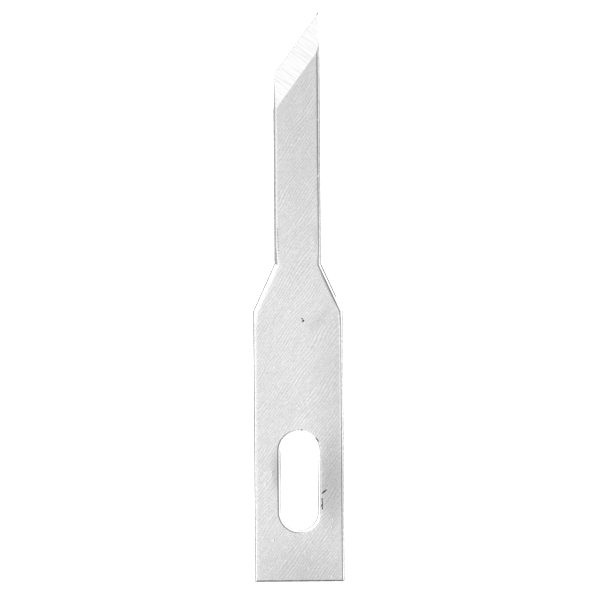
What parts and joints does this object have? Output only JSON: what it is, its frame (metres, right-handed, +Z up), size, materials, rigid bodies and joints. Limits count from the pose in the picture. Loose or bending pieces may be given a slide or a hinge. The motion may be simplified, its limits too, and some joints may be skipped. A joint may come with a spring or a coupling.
{
  "type": "craft knife blade",
  "caption": "Flat steel craft-knife blade with a wide slotted tang, sloped shoulders, a narrow neck and a short slanted cutting edge.",
  "frame": {"origin": "centre of the underside's bounding box, with the blade lying flat on Z = 0", "axes": "+Y along the blade from the butt to the point, +X across it towards the spine that ends in the point, +Z up through its thickness"},
  "size_m": [0.006, 0.0386, 0.0005],
  "materials": {
    "blade_steel": "surface-ground hardened steel with fine slanted grinding lines, brighter ground bevels and bare sheared edges"
  },
  "bodies": {
    "root": {"blade": "blade_steel"}
  },
  "joints": []
}
